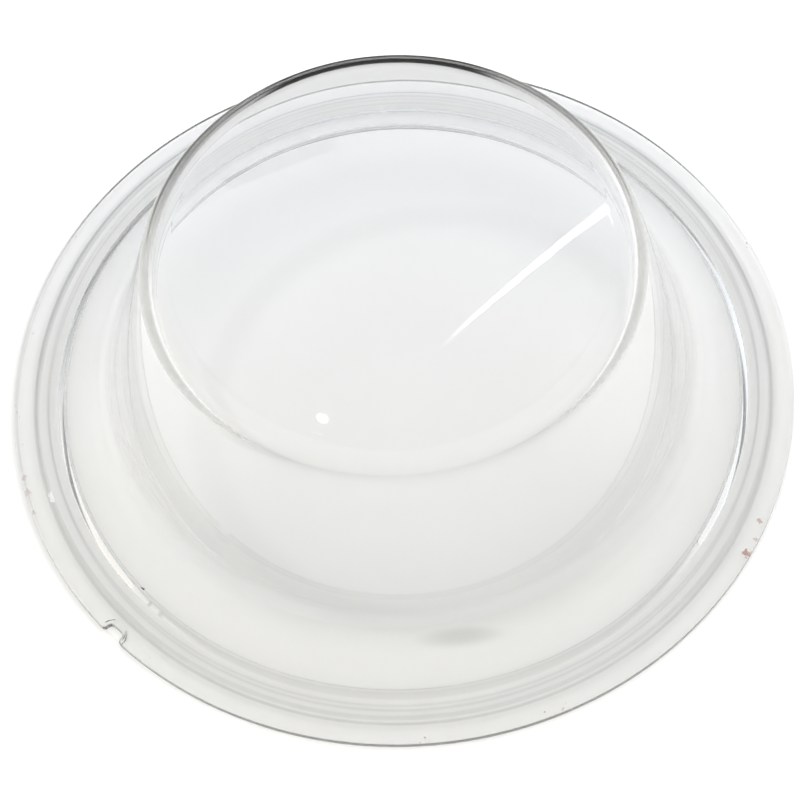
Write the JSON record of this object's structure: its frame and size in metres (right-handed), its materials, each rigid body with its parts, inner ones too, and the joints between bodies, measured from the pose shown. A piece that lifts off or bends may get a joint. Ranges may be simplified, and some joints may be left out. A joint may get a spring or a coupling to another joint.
{
  "type": "washing machine door glass",
  "caption": "Clear pressed-glass bowl with a flat clamping flange, a low step, a sloping shoulder ring and a locating notch in the rim.",
  "frame": {"origin": "centre of the flange's flat back face, on the axis of the bowl", "axes": "+Z along the axis, towards the closed end of the bowl; -Y towards the locating notch in the rim"},
  "size_m": [0.33, 0.3299, 0.1086],
  "materials": {
    "clear_glass": "clear, pressed and fire-polished"
  },
  "bodies": {
    "root": {"door_glass": "clear_glass"}
  },
  "joints": []
}
